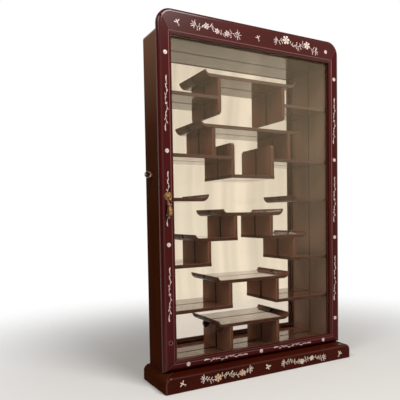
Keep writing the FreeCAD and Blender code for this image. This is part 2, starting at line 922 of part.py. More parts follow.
def shelf_parts():
    half_panel = panel_thickness / 2
    wall = -inside_half
    low_table_tip = low_table_leg_x + low_table_overhang
    low_tip = low_panel_x + low_shelf_overhang
    middle_tip = middle_panel_x + middle_shelf_overhang
    second_tip = second_panel_x + second_shelf_overhang
    top_tip = top_panel_x + top_shelf_overhang
    mid_tip = mid_post_x + mid_shelf_overhang
    tray_half = tray_end_x + half_panel
    parts = {
        "top_shelf": shelf(-top_tip, top_tip, top_shelf_z, True, True),
        "second_shelf": shelf(-second_tip, second_tip, second_shelf_z, True, True),
        "tray_floor": shelf(-tray_half, tray_half, tray_floor_z),
        "middle_shelf": shelf(-middle_tip, middle_tip, middle_shelf_z, True, True),
        "low_shelf": shelf(-low_tip, low_tip, low_shelf_z, True, True),
        "low_table_top": shelf(-low_table_tip, low_table_tip, low_table_z, True, True),
    }
    parts.update(pair("upper_shelf", shelf(wall, -top_panel_x - half_panel, upper_shelf_z)))
    parts.update(pair("tray_shelf", shelf(wall, -tray_half, tray_shelf_z)))
    parts.update(pair("ledge", shelf(wall, wall + ledge_length, ledge_z, False, True)))
    parts.update(pair("mid_shelf", shelf(-mid_tip, -middle_panel_x + half_panel, mid_shelf_z, True, False)))
    parts.update(pair("lower_shelf", shelf(wall, -mid_post_x + half_panel, lower_shelf_z)))
    parts.update(pair("bottom_shelf", shelf(wall, -low_panel_x + half_panel, bottom_shelf_z)))
    return parts


# Panels that stand or hang between the shelves

def panel(x, z0, z1, rounded=None):
    """An upright panel at x; rounded names its free front corner, 'top' or 'bottom'."""
    x0 = x - panel_thickness / 2
    board = box(x0, x0 + panel_thickness, shelf_front_y, shelf_back_y, z0, z1)
    if rounded:
        corner_z = z1 if rounded == "top" else z0
        corner = edges_at(board, lambda p: near(p.y, shelf_front_y) and near(p.z, corner_z))
        board = board.makeFillet(panel_corner_radius, corner)
    front = [
        edge for edge in edges_at(board, lambda p: near(p.y, shelf_front_y))
        if edge.BoundBox.ZLength > panel_thickness
    ]
    return board.makeChamfer(shelf_edge_chamfer, front)


def low_table_bracket():
    """A scroll-shaped bracket at mid-depth beside the left leg, under the table's end."""
    root_x = -low_table_leg_x - panel_thickness / 2
    top_z = low_table_z - shelf_thickness
    y0 = shelf_front_y + (shelf_depth - bracket_thickness) / 2

    def at(out, down):
        return Vec(root_x - out, y0, top_z - down)

    root = at(0, 0)
    neck = at(0, bracket_neck)
    lobe = at(bracket_lobe_x, bracket_drop)
    rim = at(bracket_top_width, 0)
    edges = [
        line(root, neck),
        bowed(neck, lobe, bracket_lobe_sag),
        bowed(lobe, rim, bracket_scroll_sag),
        line(rim, root),
    ]
    return prism(edges, Vec(0, bracket_thickness, 0))


def panel_parts():
    leg = panel(-low_table_leg_x, floor_z, low_table_z - shelf_thickness)
    tray_end = panel(-tray_end_x, tray_floor_z, tray_shelf_z + tray_end_rise, "top")
    bracket = low_table_bracket()
    hang_z = upper_shelf_z - shelf_thickness - top_panel_hang
    parts = {
        "low_table_legs": Part.makeCompound([leg, mirrored(leg)]),
        "low_table_brackets": Part.makeCompound([bracket, mirrored(bracket)]),
        "tray_ends": Part.makeCompound([tray_end, mirrored(tray_end)]),
    }
    parts.update(pair("top_panel", panel(-top_panel_x, hang_z, top_shelf_z - shelf_thickness, "bottom")))
    parts.update(pair("second_panel", panel(-second_panel_x, tray_shelf_z, second_shelf_z - shelf_thickness)))
    parts.update(pair("middle_panel", panel(-middle_panel_x, mid_shelf_z, middle_shelf_z - shelf_thickness)))
    parts.update(pair("mid_post", panel(-mid_post_x, lower_shelf_z, mid_shelf_z - shelf_thickness)))
    parts.update(pair("low_panel", panel(-low_panel_x, bottom_shelf_z, low_shelf_z - shelf_thickness)))
    return parts


def all_parts():
    parts = {}
    for group in (
        base_parts, carcass_parts, door_parts, hinge_parts,
        pull_parts, fitting_parts, shelf_parts, panel_parts,
    ):
        parts.update(group())
    return parts


os.makedirs("parts", exist_ok=True)
nodes = all_parts()
for name, shape in nodes.items():
    shape.exportStep("parts/" + name + ".step")
print(len(nodes), "pieces, overall height", door_top_z, "depth", base_depth, "width", 2 * base_half)
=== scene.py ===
# %% [markdown]
# A wall curio cabinet in red lacquered rosewood: one glazed door, a mirror at the back, stepped shelves
# and mother-of-pearl inlay. The joinery comes from the CAD frame, at its real size and in its place.
# This lesson adds what a solid model can't hold: the finishes, the inlaid shell, the light and the camera.
# Lengths are written in millimetres, as on the bench, and turned into Blender's metres by one factor.

# %% Load the cabinet
import math
import random

import bmesh
import bpy
from mathutils import Matrix, Vector


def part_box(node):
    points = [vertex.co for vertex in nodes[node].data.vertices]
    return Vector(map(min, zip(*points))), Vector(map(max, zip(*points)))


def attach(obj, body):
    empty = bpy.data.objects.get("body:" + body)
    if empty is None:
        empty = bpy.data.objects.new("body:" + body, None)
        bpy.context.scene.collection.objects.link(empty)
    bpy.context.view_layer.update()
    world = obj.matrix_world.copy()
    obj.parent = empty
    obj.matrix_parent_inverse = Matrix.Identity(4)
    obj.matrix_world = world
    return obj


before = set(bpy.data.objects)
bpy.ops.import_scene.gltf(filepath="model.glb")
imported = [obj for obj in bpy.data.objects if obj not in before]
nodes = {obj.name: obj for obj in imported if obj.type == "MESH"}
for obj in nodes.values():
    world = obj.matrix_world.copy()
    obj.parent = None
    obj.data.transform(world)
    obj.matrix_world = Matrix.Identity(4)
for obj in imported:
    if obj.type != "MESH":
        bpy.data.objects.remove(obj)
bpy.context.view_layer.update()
MM = 0.001
scene = bpy.context.scene

# %% [markdown]
# The camera stands in front of the cabinet, at about half its height and well to its left, so one side
# shows. A camera can be aimed with a constraint or by angles. Angles are used, because a photographer's
# tripod has the same three: a pan to the right, a slight tilt down and a small roll. The lens is raised a
# little against the sensor, as on a view camera, which keeps the upright edges upright.

# %% Camera
LENS, SENSOR_WIDTH = 43.38, 36.0
PAN, TILT, ROLL = (math.radians(degrees) for degrees in (28.85, -2.46, -0.95))
CAMERA_PLACE = Vector((-814.3, -1185.3, 456.2)) * MM
SIDE_SHIFT, RISE = -0.011, 0.093

forward = Vector((math.sin(PAN) * math.cos(TILT), math.cos(PAN) * math.cos(TILT), math.sin(TILT)))
level_right = Vector((math.cos(PAN), -math.sin(PAN), 0.0))
level_up = level_right.cross(forward)
right = level_right * math.cos(ROLL) + level_up * math.sin(ROLL)
up = level_up * math.cos(ROLL) - level_right * math.sin(ROLL)

camera_data = bpy.data.cameras.new("camera")
camera_data.lens = LENS
camera_data.sensor_width = SENSOR_WIDTH
camera_data.shift_x = SIDE_SHIFT
camera_data.shift_y = RISE
camera = bpy.data.objects.new("camera", camera_data)
camera.matrix_world = Matrix.Translation(CAMERA_PLACE) @ Matrix((right, up, -forward)).transposed().to_4x4()
scene.collection.objects.link(camera)
scene.camera = camera
scene.view_settings.view_transform = "Standard"
print("camera stands", round(CAMERA_PLACE.length, 2), "m from the middle of the base")

# %% [markdown]
# Shader nodes can be wired one by one, but long chains of Math nodes are hard to read. Here a socket is
# wrapped in a small class, so that a sum or a product in Python adds the Math node for it.

# %% Sockets that calculate
class Signal:
    """A socket of a node tree, with arithmetic that adds Math nodes."""

    def __init__(self, finish, socket):
        self.finish = finish
        self.socket = socket

    def math(self, operation, first, second):
        return self.finish.node("ShaderNodeMath", {"operation": operation}, {0: first, 1: second})

    def __add__(self, other):
        return self.math("ADD", self, other)

    def __radd__(self, other):
        return self.math("ADD", other, self)

    def __sub__(self, other):
        return self.math("SUBTRACT", self, other)

    def __rsub__(self, other):
        return self.math("SUBTRACT", other, self)

    def __mul__(self, other):
        return self.math("MULTIPLY", self, other)

    def __rmul__(self, other):
        return self.math("MULTIPLY", other, self)

    def __pow__(self, other):
        return self.math("POWER", self, other)

    def __abs__(self):
        return self.math("ABSOLUTE", self, 0.0)

    def __lt__(self, other):
        return self.math("LESS_THAN", self, other)


print("signals can be added, subtracted, multiplied, raised to a power and compared")

# %% [markdown]
# Every other node comes from one method, which takes the node's type, its settings and what goes into its
# sockets. The methods after it are short names for what the finishes ask for again and again, such as a
# colour between two, a place on the piece, or the way that a surface looks.

# %% Node trees
class Finish:
    """A node tree that is being written: a material's, or the world's."""

    def __init__(self, tree):
        self.tree = tree

    def fill(self, socket, value):
        if isinstance(value, Signal):
            self.tree.links.new(value.socket, socket)
        else:
            socket.default_value = value

    def node(self, kind, settings=None, inputs=None, output=0):
        made = self.tree.nodes.new(kind)
        for name, value in (settings or {}).items():
            if name == "stops":
                self.set_stops(made.color_ramp, value)
            else:
                setattr(made, name, value)
        for key, value in (inputs or {}).items():
            self.fill(made.inputs[key], value)
        return Signal(self, made.outputs[output])

    def set_stops(self, ramp, stops):
        while len(ramp.elements) < len(stops):
            ramp.elements.new(1.0)
        for element, (position, shade) in zip(ramp.elements, stops):
            element.position = position
            element.color = (shade, shade, shade, 1.0)

    def mix(self, share, first, second):
        """A colour between two: Math nodes would turn colours grey."""
        return self.node("ShaderNodeMix", {"data_type": "RGBA"}, {0: share, 6: first, 7: second}, output=2)

    def ramp(self, signal, *stops):
        return self.node("ShaderNodeValToRGB", {"stops": stops}, {"Fac": signal})

    def span(self, value, start, end, low=0.0, high=1.0, smooth=False):
        """Goes from low to high while the value goes from start to end, and stays there beyond."""
        course = "SMOOTHSTEP" if smooth else "LINEAR"
        limits = {"Value": value, "From Min": start, "From Max": end, "To Min": low, "To Max": high}
        return self.node("ShaderNodeMapRange", {"interpolation_type": course}, limits)

    def part(self, vector, axis):
        return self.node("ShaderNodeSeparateXYZ", None, {0: vector}, output=axis)

    def place(self, axis):
        """The place on the piece along one axis, in metres."""
        return self.part(self.node("ShaderNodeTexCoord", output="Object"), axis)

    def looks_along(self, axis):
        """1 where the piece's surface looks along an axis, either way, and 0 where it looks across it."""
        share = self.part(self.node("ShaderNodeTexCoord", output="Normal"), axis)
        return share * share

    def slant(self):
        """0 where the surface faces the viewer, and 1 where it is seen edge on."""
        return self.node("ShaderNodeLayerWeight", None, {"Blend": 0.5}, output="Facing")

    def noise(self, factors, detail=4.0, distortion=0.0, place=None):
        """Noise over a place, times three factors. It is the place on the piece unless another is given."""
        place = place or self.node("ShaderNodeTexCoord", output="Object")
        stretched = self.node("ShaderNodeVectorMath", {"operation": "MULTIPLY"}, {0: place, 1: factors})
        inputs = {"Vector": stretched, "Scale": 1.0, "Detail": detail, "Distortion": distortion}
        return self.node("ShaderNodeTexNoise", None, inputs, output="Fac")

    def edges(self, radius):
        """Near 0 on a flat face, and higher within that radius of a sharp edge."""
        rounded = self.node("ShaderNodeBevel", {"samples": 4}, {"Radius": radius})
        flat = self.node("ShaderNodeNewGeometry", output="Normal")
        normals = {0: rounded, 1: flat}
        same = self.node("ShaderNodeVectorMath", {"operation": "DOT_PRODUCT"}, normals, output="Value")
        return 1 - same

    def bump(self, height, distance, strength=1.0):
        inputs = {"Height": height, "Distance": distance, "Strength": strength}
        return self.node("ShaderNodeBump", None, inputs)

    def show(self, shader):
        self.fill(self.tree.nodes["Material Output"].inputs["Surface"], shader)


print("methods of a node tree:", [name for name in vars(Finish) if not name.startswith("_")])

# %% [markdown]
# Most materials here are one Principled shader, whose sockets are set to a number or filled with a signal.
# The pane and the floor are mixed from simpler shaders, so they start from a tree that holds only its
# output.

# %% Materials
def principled(name, **sockets):
    """A material with one Principled shader. Socket names are written with underscores."""
    material = bpy.data.materials.new(name)
    material.use_nodes = True
    finish = Finish(material.node_tree)
    shader = material.node_tree.nodes["Principled BSDF"]
    for key, value in sockets.items():
        shader.inputs[key.replace("_", " ")].default_value = value
    return material, finish, shader


def bare_material(name):
    material, finish, shader = principled(name)
    finish.tree.nodes.remove(shader)
    return material, finish


def colour(red, green, blue):
    return (red, green, blue, 1.0)


print("shader helpers are ready")

# %% [markdown]
# Rosewood is a heavy dark wood with long streaks and fine pores. An image of wood would need unwrapping,
# and would repeat. A noise that is stretched along the grain needs neither: each board gets the direction
# in which it was cut.

# %% Grain of rosewood
STREAK_ALONG, STREAK_ACROSS = 3.0, 70.0
PORE_ALONG, PORE_ACROSS = 45.0, 900.0
CLOUD_SCALE = 5.0


def along_grain(grain, along, across):
    return tuple(along if axis == grain else across for axis in "xyz")


def grain_noises(wood, grain):
    """Streaks along the grain, wide clouds, the figure that both make, and the pores."""
    streaks = wood.noise(along_grain(grain, STREAK_ALONG, STREAK_ACROSS), detail=5.0, distortion=0.8)
    clouds = wood.noise((CLOUD_SCALE, CLOUD_SCALE, CLOUD_SCALE), detail=2.0)
    pores = wood.noise(along_grain(grain, PORE_ALONG, PORE_ACROSS), detail=2.0)
    figure = wood.ramp(streaks * 0.5 + clouds * 0.5, (0.28, 0.0), (0.72, 1.0))
    pitted = wood.ramp(pores, (0.30, 1.0), (0.42, 0.0))
    return streaks, clouds, figure, pitted


print("streaks are stretched", round(STREAK_ACROSS / STREAK_ALONG), "times along the grain")

# %% [markdown]
# The crest of the bead that runs round the glass gets a painted highlight: a pale line, stronger towards the
# top, where more light falls. Where a board meets the mirror, a dark line is both the joint and painted shade
# in the corner. Both could be painted on by hand. Here they follow from the place on the cabinet, so no
# board has to be unwrapped.

# %% Painted highlight of the bead, and joints
BEAD_WIDTH = 9 * MM
CREST_CORE, CREST_EDGE = 0.3 * MM, 1.4 * MM
OPENING_HALF = 270.5 * MM
OPENING_MIDDLE, OPENING_RISE = 501 * MM, 427 * MM
INSIDE_HALF = 280.5 * MM
SEAM_WIDTH = 4 * MM


def bead_crest_highlight(wood):
    """1 on the crest of the bead round the door's opening, where a highlight is painted, and 0 beside it."""
    beside = abs(wood.place("X")) - OPENING_HALF
    above = abs(wood.place("Z") - OPENING_MIDDLE) - OPENING_RISE
    outward = beside.math("MAXIMUM", beside, above)
    return wood.span(abs(outward - BEAD_WIDTH), CREST_CORE, CREST_EDGE, low=1.0, high=0.0)


def joint_and_shade_line(wood, seam):
    """Rises to 1 at the depth of a seam, and is 0 beyond the inner face of the right side."""
    return wood.span(wood.place("Y"), seam - SEAM_WIDTH, seam) * (wood.place("X") < INSIDE_HALF)


print("the door's opening in mm:", round(2 * OPENING_HALF / MM), "by", round(2 * OPENING_RISE / MM))

# %% [markdown]
# The colour is built up in layers: the streaks, the pores, the rubbed edges, which also carry painted
# highlights, and then painted light and shade. The layers could be separate materials, mixed by masks. One
# chain of colour mixes is easier to follow, and a board leaves out the steps that it has no need of.

# %% Colour of the lacquer
EDGE_RADIUS = 1.6 * MM
PORE_BROWN = colour(0.008, 0.003, 0.002)
PORE_SHARE, RUB_AND_HIGHLIGHT_SHARE, FRONT_SHARE = 0.4, 0.55, 0.65
CREST_HIGHLIGHT_BY_HEIGHT = ((0.10, 0.3), (0.85, 0.95))
TOP_SHEEN_BY_HEIGHT = ((0.45, 0.0), (0.70, 0.12), (0.97, 1.0))
FRONT_BY_HEIGHT = ((0.45, 0.0), (0.80, 1.0))


def lacquer_tone(wood, figure, pitted, tints, rim, top_sheen, front, lit_inside):
    """The colour of a board, from its grain and from what the function rosewood is told of it."""
    dark, light, wear_and_highlight = tints
    outside = 1.0
    # Faces within the case take paler tints: painted light for the dim inside of the case.
    if lit_inside:
        within = abs(wood.place("X")) < INSIDE_HALF
        outside = 1 - within
        dark, light, wear_and_highlight = [wood.mix(within, *pair) for pair in zip(tints, lit_inside)]
    tone = wood.mix(figure, dark, light)
    tone = wood.mix(pitted * PORE_SHARE, tone, PORE_BROWN)
    # Rubbed edges are wear, and the same pale tint also paints a highlight along the arrises.
    rubbed_and_highlit = wood.ramp(wood.edges(EDGE_RADIUS), (0.02, 0.0), (0.28, 1.0))
    tone = wood.mix(rubbed_and_highlit * RUB_AND_HIGHLIGHT_SHARE, tone, wear_and_highlight)
    height = wood.place("Z")
    # A painted highlight on the bead's crest, in the pale tint, stronger higher up.
    if rim:
        tone = wood.mix(bead_crest_highlight(wood) * wood.ramp(height, *CREST_HIGHLIGHT_BY_HEIGHT), tone, wear_and_highlight)
    # A painted sheen: the outside of the sides pales towards the top.
    if top_sheen:
        tone = wood.mix(top_sheen * outside * wood.ramp(height, *TOP_SHEEN_BY_HEIGHT), tone, wear_and_highlight)
    # Faces that look forward or back take the front tones: on shelves and panels, painted shade low down and
    # painted light higher up.
    if front:
        facing = wood.ramp(wood.looks_along("Y"), (0.6, 0.0), (0.9, 1.0))
        front_tone = wood.mix(wood.ramp(height, *FRONT_BY_HEIGHT), *front)
        tone = wood.mix(facing * FRONT_SHARE, tone, front_tone)
    return tone


print("a side pales from", TOP_SHEEN_BY_HEIGHT[0][0], "m up")

# %% [markdown]
# The lacquer's polish is a clear coat. The same coat all over would turn the whole cabinet grey on a
# slanting view. On the real one the polish is uneven: a shelf shines when one looks along it, and the
# door shines where its edges are rounded. So the weight of the coat varies, and most of a board has none.

# %% Rosewood under lacquer
COAT_ROUGHNESS = 0.08
# The colour of the line at the mirror is both the dark of the joint and painted shade in the corner.
JOINT_AND_SHADE_BLACK, JOINT_AND_SHADE_SHARE = colour(0.010, 0.005, 0.003), 0.85
GRAIN_DEPTH = 0.03 * MM


def coat_weight(wood, glaze, rim):
    """Lacquer on level faces at a slanting view, or on the rounded edges of a front."""
    if glaze:
        level = wood.ramp(wood.looks_along("Z"), (0.85, 0.0), (0.97, 1.0))
        return glaze * level * wood.ramp(wood.slant(), (0.62, 0.0), (0.80, 1.0))
    frontal = wood.looks_along("Y")
    off_the_side = wood.ramp(frontal, (0.25, 0.0), (0.60, 1.0))
    on_the_flat = wood.ramp(frontal, (0.955, 0.0), (0.999, 1.0))
    return rim * off_the_side * (1 - on_the_flat)


def rosewood(name, grain, tints, roughness, specular, glaze=0.0, gloss=1.5, rim=0.0, top_sheen=0.0, seam=None,
             front=None, lit_inside=None):
    """Streaked wood under lacquer, with the grain along the axis that grain names.

    A glaze is a coat on level faces that shows only on a slanting view, as the polish of a shelf does.
    A rim is a coat on the rounded edges of a front, and comes with a painted highlight on the crest of the
    bead. The top sheen is how strongly a painted sheen pales the colour towards the top. A seam is the depth
    at which a dark line runs, both joint and painted shade. Front holds the tones of faces that look forward
    or back, low down and high up; on shelves and panels they are painted shade and painted light. The lit
    inside holds paler tints for what lies within the case, painted light for the dim case.
    """
    material, wood, shader = principled(name, Coat_Roughness=COAT_ROUGHNESS, Coat_IOR=gloss,
                                        Specular_IOR_Level=specular)
    streaks, clouds, figure, pitted = grain_noises(wood, grain)
    tone = lacquer_tone(wood, figure, pitted, tints, rim, top_sheen, front, lit_inside)
    coat = coat_weight(wood, glaze, rim) if glaze or rim else 0.0
    # A dark line where a board meets the mirror: the joint, and painted shade in that corner.
    if seam is not None:
        joint_and_shade = joint_and_shade_line(wood, seam)
        tone = wood.mix(joint_and_shade * JOINT_AND_SHADE_SHARE, tone, JOINT_AND_SHADE_BLACK)
        if glaze:
            coat = coat * (1 - joint_and_shade)
    wood.fill(shader.inputs["Base Color"], tone)
    wood.fill(shader.inputs["Coat Weight"], coat)
    wood.fill(shader.inputs["Roughness"], roughness + 0.12 * clouds - 0.05 * figure)
    wood.fill(shader.inputs["Normal"], wood.bump(streaks * 0.5 - pitted * 0.5, GRAIN_DEPTH, strength=0.4))
    return material


print("rosewood takes a grain along x, y or z")

# %% [markdown]
# Each group of boards has three tints: the dark and the light of its streaks, and a pale one for rubbed
# edges and painted highlights. One set for all would be simpler, but the door is red, the case is brown, and
# the shelves and panels within it are paler; their tints are raised as painted light for the dim case. The
# inner faces of the sides take the still paler wall tints, painted light and a painted glass reflection.
# The strips that hold the glass are dark at the sides and paler on their backs, which the mirror shows. The
# joint line, joint and painted shade, runs at the mirror's face on the right side, and at the shelves'
# backs elsewhere.

# %% Lacquer finishes
DOOR_RED = (colour(0.046, 0.0032, 0.0030), colour(0.078, 0.0056, 0.0052), colour(0.36, 0.170, 0.150))
BASE_RED = (colour(0.040, 0.0046, 0.0018), colour(0.066, 0.0080, 0.0032), colour(0.30, 0.140, 0.100))
CASE_BROWN = (colour(0.038, 0.0080, 0.0030), colour(0.064, 0.0155, 0.0055), colour(0.17, 0.090, 0.066))
# The sides' pale tint is raised, because it also carries their painted sheen.
SIDE_BROWN = (*CASE_BROWN[:2], colour(0.25, 0.130, 0.080))
SHELF_BROWN = (colour(0.112, 0.042, 0.023), colour(0.168, 0.067, 0.039), colour(0.26, 0.155, 0.115))
PANEL_BROWN = (colour(0.232, 0.098, 0.052), colour(0.342, 0.154, 0.090), colour(0.33, 0.165, 0.113))
LIT_WALL_BROWN = (colour(0.270, 0.150, 0.098), colour(0.380, 0.220, 0.150), colour(0.40, 0.240, 0.165))

# Tones of faces that look forward: painted shade low down and on the panels' upper fronts, painted light on
# the shelves' upper fronts.
LOW_FRONT_SHADE = colour(0.040, 0.016, 0.010)
PANEL_FRONT_SHADE = colour(0.085, 0.052, 0.042)
SHELF_FRONT_LIGHT = colour(0.170, 0.120, 0.095)
STRIP_TAN = colour(0.306, 0.166, 0.099)

mirror_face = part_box("mirror")[0].y
board_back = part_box("top_shelf")[1].y

red_upright = rosewood("red_lacquer_upright", "z", DOOR_RED, roughness=0.20, specular=0.10, rim=0.45)
red_level = rosewood("red_lacquer_level", "x", DOOR_RED, roughness=0.20, specular=0.22, rim=0.6)
red_low = rosewood("red_lacquer_low", "x", DOOR_RED, roughness=0.22, specular=0.10, rim=0.6)
base_red = rosewood("red_lacquer_base", "x", BASE_RED, roughness=0.22, specular=0.04, rim=0.6)
brown_deep = rosewood("brown_lacquer_deep", "y", CASE_BROWN, roughness=0.22, specular=0.0)
strip_brown = rosewood("brown_lacquer_strips", "y", CASE_BROWN, roughness=0.22, specular=0.0,
                       front=(STRIP_TAN, STRIP_TAN))
case_left = rosewood("case_lacquer_left", "z", SIDE_BROWN, roughness=0.26, specular=0.0, top_sheen=0.8,
                     lit_inside=LIT_WALL_BROWN)
case_right = rosewood("case_lacquer_right", "z", SIDE_BROWN, roughness=0.36, specular=0.30, top_sheen=0.8,
                      seam=mirror_face, lit_inside=LIT_WALL_BROWN)
case_level = rosewood("case_lacquer_level", "x", CASE_BROWN, roughness=0.14, specular=0.4, glaze=1.0,
                      seam=board_back)
shelf_upright = rosewood("shelf_lacquer_upright", "z", PANEL_BROWN, roughness=0.24, specular=0.05,
                         seam=board_back, front=(LOW_FRONT_SHADE, PANEL_FRONT_SHADE))
shelf_level = rosewood("shelf_lacquer_level", "x", SHELF_BROWN, roughness=0.14, specular=0.05, glaze=1.0,
                       gloss=1.8, seam=board_back, front=(LOW_FRONT_SHADE, SHELF_FRONT_LIGHT))
print("rosewood finishes:", [m.name for m in bpy.data.materials if "lacquer" in m.name])

# %% [markdown]
# The mirror lines the whole back of the case and doubles every shelf. Silvered glass could be a clear
# sheet over metal, but one metal surface looks the same and renders quicker. Its silver has warmed with
# age, in soft clouds.

# %% Mirror
mirror_glass, silver, silver_shader = principled("mirror_glass", Metallic=1.0, Specular_IOR_Level=0.5)
haze = silver.noise((4.0, 4.0, 4.0), detail=3.0)
silver.fill(silver_shader.inputs["Base Color"],
            silver.mix(haze, colour(0.95, 0.91, 0.86), colour(0.98, 0.95, 0.91)))
silver.fill(silver_shader.inputs["Roughness"], 0.012 + 0.02 * haze)

# %% [markdown]
# The door's pane is plain window glass. A refracting shader would keep the lamps' light out of the case,
# because no light path finds its way through two bent surfaces. A thin sheet bends nothing anyway, so the
# pane is mixed from clear and glossy. The glossy share is small from the front and grows fast on a
# slanting view, as on real glass. A painted reflection scales it, so the gloss grows stronger towards
# the upper right.

# %% Door glass
FRONT_GLOSS, SLANT_POWER = 0.04, 5
VEIL_LEAN = 0.8
VEIL_START, VEIL_END = 0.20, 1.00
VEIL_LOW, VEIL_HIGH = 0.08, 1.6


def pane(name):
    material, glass = bare_material(name)
    smear = glass.noise((6.0, 6.0, 3.0), detail=3.0)
    clear = glass.node("ShaderNodeBsdfTransparent", None, {"Color": colour(0.97, 0.96, 0.95)})
    gloss = glass.node("ShaderNodeBsdfPrincipled", None, {
        "Base Color": colour(0.92, 0.79, 0.60), "Metallic": 1.0, "Roughness": 0.02 + 0.03 * smear})
    # Painted reflection: the pane's gloss is scaled up towards the upper right.
    towards_corner = glass.place("Z") + VEIL_LEAN * glass.place("X")
    painted_veil = glass.span(towards_corner, VEIL_START, VEIL_END, VEIL_LOW, VEIL_HIGH, smooth=True)
    share = (FRONT_GLOSS + glass.slant() ** SLANT_POWER) * painted_veil
    glass.show(glass.node("ShaderNodeMixShader", None, {0: share, 1: clear, 2: gloss}))
    return material


door_glass = pane("door_glass")
print("the film scales the pane's gloss from", VEIL_LOW, "to", VEIL_HIGH)

# %% [markdown]
# The fittings are cast and stamped brass that has gone brown in the hollows and stays bright where it is
# touched. One metal with two colours is enough: a noise at the size of small stains mixes them, and the
# same noise makes the brown parts duller.

# %% Brass and steel
TOUCH_RADIUS, STAIN_DEPTH = 0.8 * MM, 0.08 * MM


def metal(name, bright, stained, stain_size, polish):
    material, alloy, shader = principled(name, Metallic=1.0)
    scale = 1.0 / stain_size
    stains = alloy.noise((scale, scale, scale), detail=5.0)
    brown = alloy.ramp(stains, (0.40, 0.0), (0.66, 1.0))
    touched = alloy.ramp(alloy.edges(TOUCH_RADIUS), (0.03, 0.0), (0.35, 1.0))
    cover = alloy.node("ShaderNodeMath", {"operation": "SUBTRACT", "use_clamp": True}, {0: brown, 1: touched})
    alloy.fill(shader.inputs["Base Color"], alloy.mix(cover, bright, stained))
    alloy.fill(shader.inputs["Roughness"], polish + 0.3 * cover)
    alloy.fill(shader.inputs["Normal"], alloy.bump(stains, STAIN_DEPTH, strength=0.4))
    return material


aged_brass = metal("aged_brass", bright=colour(0.40, 0.23, 0.10), stained=colour(0.085, 0.042, 0.020),
                   stain_size=5 * MM, polish=0.30)
pale_brass = metal("pale_brass", bright=colour(0.62, 0.52, 0.42), stained=colour(0.36, 0.27, 0.20),
                   stain_size=3 * MM, polish=0.34)
catch_steel = metal("catch_steel", bright=colour(0.50, 0.50, 0.50), stained=colour(0.22, 0.20, 0.19),
                    stain_size=4 * MM, polish=0.32)
print("metals:", [m.name for m in (aged_brass, pale_brass, catch_steel)])

# %% [markdown]
# Behind the mirror is a thin board that nobody sees once the cabinet is against a wall. It is plain
# brown board with pressed fibres: rough, with no coat.

# %% Back board
back_board, board, board_shader = principled("back_board", Specular_IOR_Level=0.2)
fibres = board.noise((260.0, 260.0, 90.0), detail=6.0, distortion=0.5)
patches = board.noise((7.0, 7.0, 7.0), detail=2.0)
board.fill(board_shader.inputs["Base Color"],
           board.mix(fibres * 0.6 + patches * 0.4, colour(0.10, 0.055, 0.028), colour(0.26, 0.16, 0.085)))
board.fill(board_shader.inputs["Roughness"], 0.7 + 0.2 * fibres)
board.fill(board_shader.inputs["Normal"], board.bump(fibres, 0.2 * MM, strength=0.6))
print("materials so far:", len(bpy.data.materials))

# %% [markdown]
# Now every piece gets its finish. The grain follows the way each board was cut: up a stile or a side,
# along a rail or a shelf, and front to back on the ends of the base.

# %% Dress the joinery
def dress(finish, *names):
    for name in names:
        mesh = nodes[name].data
        mesh.materials.clear()
        mesh.materials.append(finish)


def both(*stems):
    return [side + "_" + stem for stem in stems for side in ("left", "right")]


dress(red_upright, "door_left_stile", "door_right_stile")
dress(red_level, "door_top_rail")
dress(red_low, "door_bottom_rail")
dress(base_red, "base_front")
dress(brown_deep, "base_left_end", "base_right_end")
dress(strip_brown, "glazing_stops")
dress(case_left, "left_side")
dress(case_right, "right_side")
dress(case_level, "top_board", "ceiling_board")
dress(shelf_level, "bottom_board", "top_shelf", "second_shelf", "tray_floor", "middle_shelf", "low_shelf",
      "low_table_top", "low_table_brackets",
      *both("upper_shelf", "tray_shelf", "ledge", "mid_shelf", "lower_shelf", "bottom_shelf"))
dress(shelf_upright, "low_table_legs", "tray_ends",
      *both("top_panel", "second_panel", "middle_panel", "mid_post", "low_panel"))
dress(mirror_glass, "mirror")
dress(door_glass, "door_glass")
dress(back_board, "back_panel")
dress(aged_brass, "hinge_cabinet_leaves", "hinge_door_leaves", "hinge_pins", "cabinet_screws", "door_screws",
      "pull_rosette", "pull_post", "drop_pull", "hanger_plates")
dress(pale_brass, "screw_eye")
dress(catch_steel, "magnetic_catch", "catch_strike")
print("dressed nodes:", sum(1 for node in nodes.values() if node.data.materials))

# %% [markdown]
# Mother-of-pearl is cut from shell in thin plates. Its colour drifts from cream to rose and green over a
# few millimetres, because the layers in the shell split the light. Two noises move the colour, and a coat
# gives the polish. Three sheets of shell are used: a rosy one, a cream one and a tan one.

# %% Mother-of-pearl
LAYER_DEPTH = 0.04 * MM


def shell(name, body, rose, green):
    material, pearl, shader = principled(name, Coat_Weight=0.5, Coat_Roughness=0.12, Specular_IOR_Level=0.6)
    drift = pearl.noise((160.0, 160.0, 160.0), detail=2.0, distortion=1.5)
    layers = pearl.noise((420.0, 420.0, 160.0), detail=3.0, distortion=2.0)
    tone = pearl.mix(pearl.ramp(drift, (0.40, 0.0), (0.62, 1.0)), body, rose)
    tone = pearl.mix(pearl.ramp(layers, (0.52, 0.0), (0.70, 0.6)), tone, green)
    pearl.fill(shader.inputs["Base Color"], tone)
    pearl.fill(shader.inputs["Roughness"], 0.22 + 0.15 * layers)
    pearl.fill(shader.inputs["Normal"], pearl.bump(layers, LAYER_DEPTH, strength=0.5))
    return material


rosy_shell = shell("rosy_shell", body=colour(0.84, 0.66, 0.60), rose=colour(0.60, 0.39, 0.37),
                   green=colour(0.68, 0.68, 0.60))
cream_shell = shell("cream_shell", body=colour(0.86, 0.74, 0.60), rose=colour(0.80, 0.62, 0.54),
                    green=colour(0.78, 0.82, 0.66))
tan_shell = shell("tan_shell", body=colour(0.66, 0.42, 0.25), rose=colour(0.58, 0.35, 0.22),
                  green=colour(0.70, 0.55, 0.36))
print("sheets of shell:", [m.name for m in (rosy_shell, cream_shell, tan_shell)])

